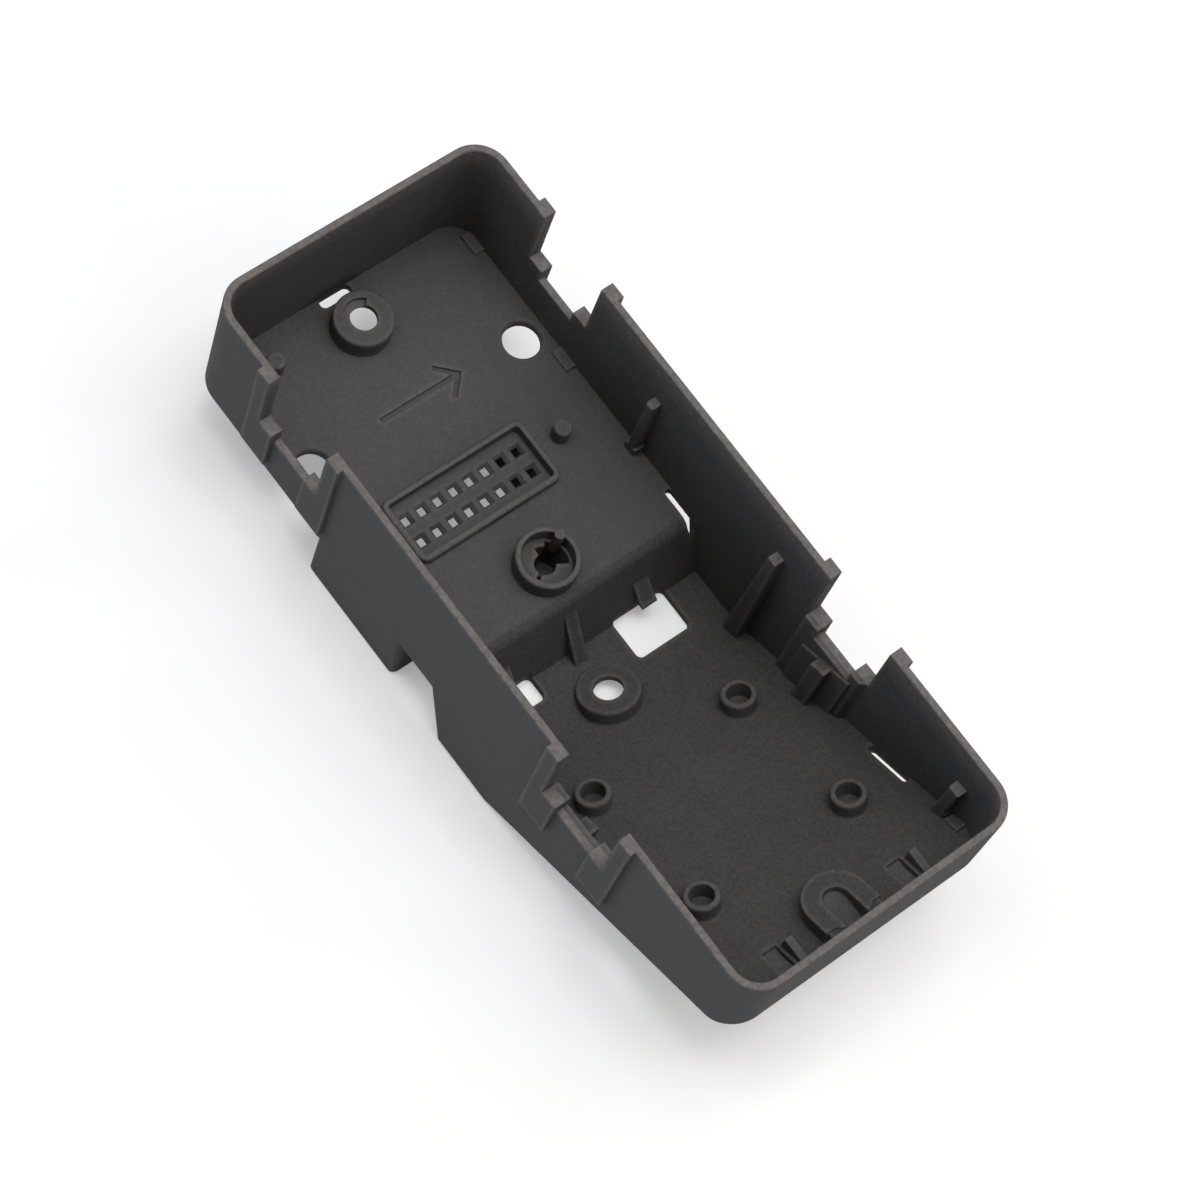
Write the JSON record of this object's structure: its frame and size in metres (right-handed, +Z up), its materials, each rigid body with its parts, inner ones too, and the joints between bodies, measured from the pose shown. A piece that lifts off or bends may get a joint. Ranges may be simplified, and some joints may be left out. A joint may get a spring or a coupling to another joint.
{
  "type": "window switch panel",
  "caption": "One-piece moulded tray that carries a car's window switches: stepped and rising floor, terminal field with plug shroud, lamp cup, bosses and notched side walls.",
  "frame": {"origin": "middle of the tray's plan on the level of the well's underside", "axes": "+X along the tray from the shelf end to the rising end, +Y across it towards the side without the plug shroud, +Z up out of its mouth"},
  "size_m": [0.1052, 0.043, 0.0306],
  "materials": {
    "housing": "fine grained matte"
  },
  "bodies": {
    "root": {"housing": "housing"}
  },
  "joints": []
}
